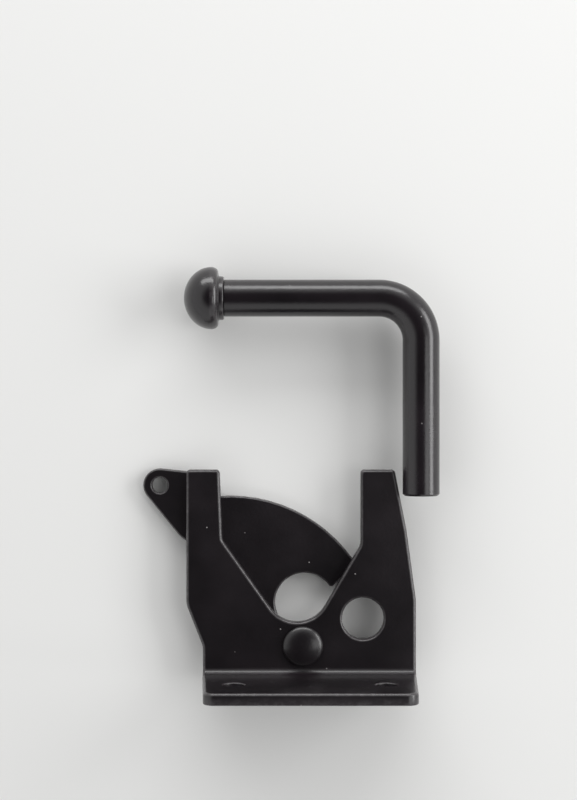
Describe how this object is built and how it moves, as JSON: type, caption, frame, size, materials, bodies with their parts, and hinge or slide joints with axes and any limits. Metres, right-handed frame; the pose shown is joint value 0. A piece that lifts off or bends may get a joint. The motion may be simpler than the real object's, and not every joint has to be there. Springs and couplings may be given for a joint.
{
  "type": "outswing gate latch",
  "caption": "Gravity gate latch: bent steel body with a funnel throat and padlock hole, a swinging notched pawl behind it, and a separate bent-rod striker with a domed head.",
  "frame": {"origin": "middle of the mounting flange's outer face", "axes": "+Y from the mounting flange to the mouth of the throat, +Z from the back of the latch (the pawl's side) to its front, +X across the throat, from the pull-cord ear toward the pawl's tail; in use -X is up"},
  "size_m": [0.0766, 0.1078, 0.0361],
  "materials": {
    "black_plate": "smooth semi-gloss black",
    "black_rod": "smooth gloss black",
    "zinc_steel": "zinc plated"
  },
  "bodies": {
    "latch": {"latch_body": "black_plate", "pivot_rivet": "black_plate", "pivot_washer": "zinc_steel", "closed_stop_stud": "black_plate", "open_stop_stud": "black_plate"},
    "pawl": {"pawl": "black_plate"},
    "striker": {"striker_rod": "black_rod", "striker_button": "black_rod"}
  },
  "joints": [
    {"name": "pawl_pivot", "type": "hinge", "parent": "latch", "child": "pawl", "pos_m": [-0.0017, 0.0102, -0.0186], "axis": [0, 0, 1], "range_deg": [0, 52]},
    {"name": "striker_travel", "type": "slide", "parent": "latch", "child": "striker", "axis": [0, 1, 0], "range_m": [0, 0.06]}
  ]
}
